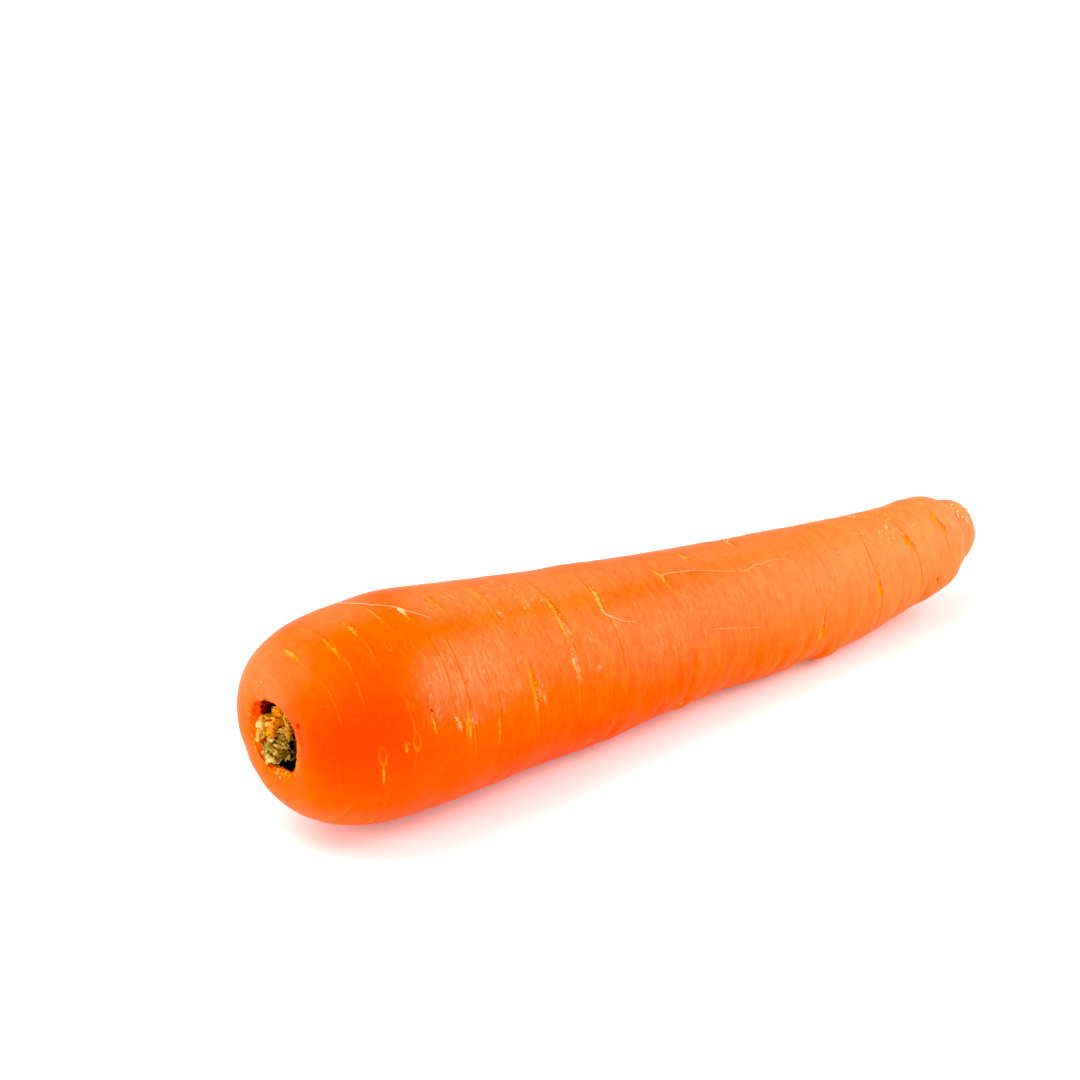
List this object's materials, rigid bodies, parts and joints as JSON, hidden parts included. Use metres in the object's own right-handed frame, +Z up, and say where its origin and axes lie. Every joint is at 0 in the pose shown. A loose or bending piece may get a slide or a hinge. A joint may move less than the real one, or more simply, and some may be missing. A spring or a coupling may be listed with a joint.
{
  "type": "carrot",
  "caption": "Topped carrot lying on its side: blunt tapering orange root with a leaf socket in its crown, torn leaf stalk bases and fine side rootlets.",
  "frame": {"origin": "centre of the bounding box at its bottom, on the surface the carrot lies on", "axes": "+X along the root from the crown to the tail, +Z up from the surface it lies on, +Y completes the frame"},
  "size_m": [0.1877, 0.0446, 0.0453],
  "materials": {
    "carrot_skin": "satin, moist orange vegetable skin",
    "leaf_stalk": "matt, fibrous green-tan plant stalk",
    "rootlet": "matt, thin pale root hair"
  },
  "bodies": {
    "root": {"root": "carrot_skin", "leaf_stub_1": "leaf_stalk", "leaf_stub_2": "leaf_stalk", "leaf_stub_3": "leaf_stalk", "leaf_stub_4": "leaf_stalk", "leaf_stub_5": "leaf_stalk", "leaf_stub_6": "leaf_stalk", "leaf_stub_7": "leaf_stalk", "leaf_stub_8": "leaf_stalk", "leaf_stub_9": "leaf_stalk", "leaf_stub_10": "leaf_stalk", "rootlet_1": "rootlet", "rootlet_2": "rootlet", "rootlet_3": "rootlet", "rootlet_4": "rootlet", "rootlet_5": "rootlet", "rootlet_6": "rootlet", "rootlet_7": "rootlet", "rootlet_8": "rootlet", "rootlet_9": "rootlet", "rootlet_10": "rootlet"}
  },
  "joints": []
}
